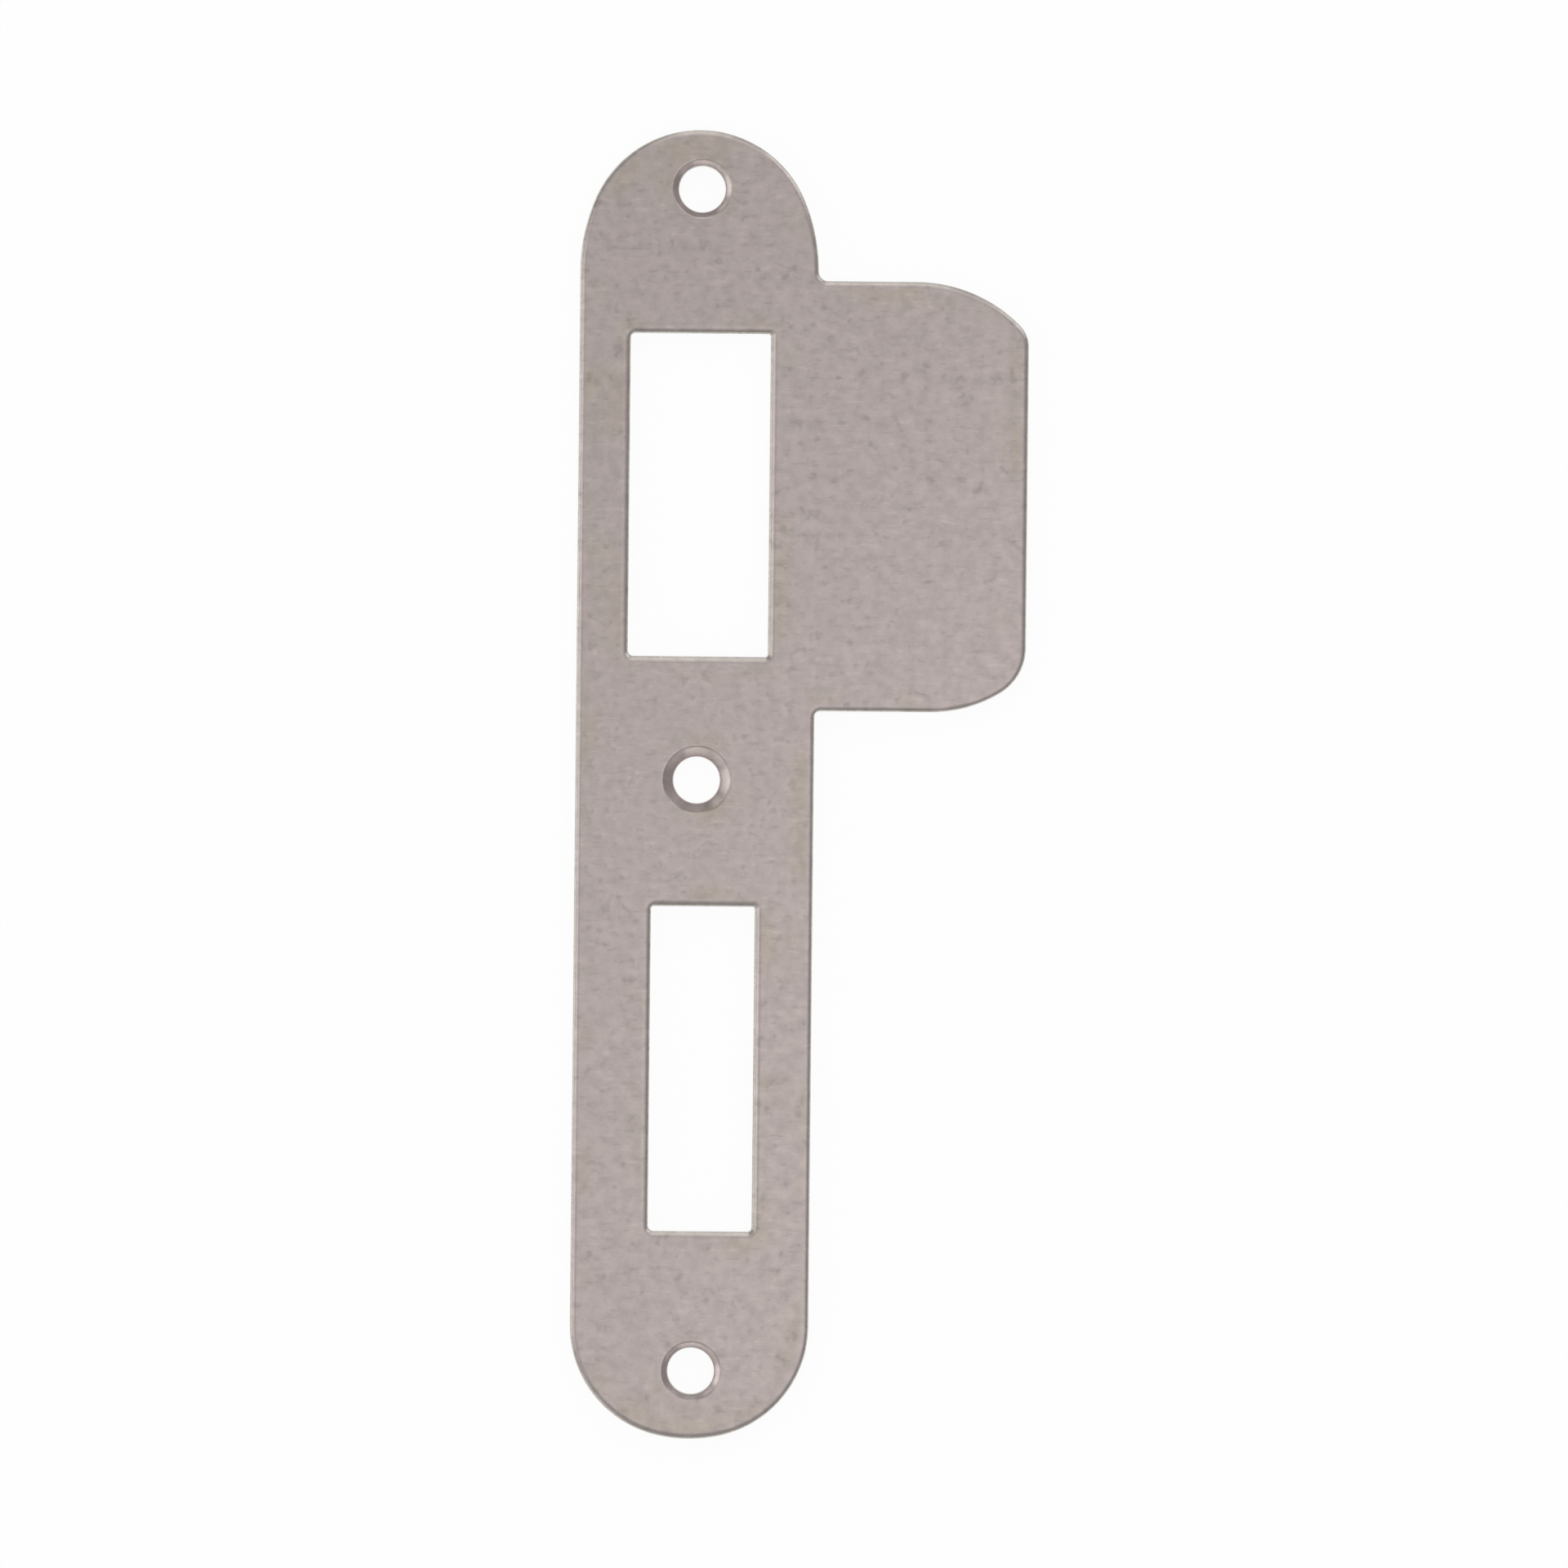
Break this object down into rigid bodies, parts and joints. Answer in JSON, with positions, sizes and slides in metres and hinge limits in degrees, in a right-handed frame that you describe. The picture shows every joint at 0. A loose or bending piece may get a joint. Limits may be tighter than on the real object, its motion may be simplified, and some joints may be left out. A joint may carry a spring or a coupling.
{
  "type": "door strike plate",
  "caption": "Flat steel door strike plate: a strip with round ends and a flat side lip, with latch and bolt openings and countersunk screw holes.",
  "frame": {"origin": "on the middle screw hole's axis, at the plate's back face", "axes": "+Y up the plate towards the latch opening, +X towards the lip, +Z out of the front face"},
  "size_m": [0.0471, 0.1372, 0.002],
  "materials": {
    "sheet_steel": "matt"
  },
  "bodies": {
    "root": {"strike_plate": "sheet_steel"}
  },
  "joints": []
}
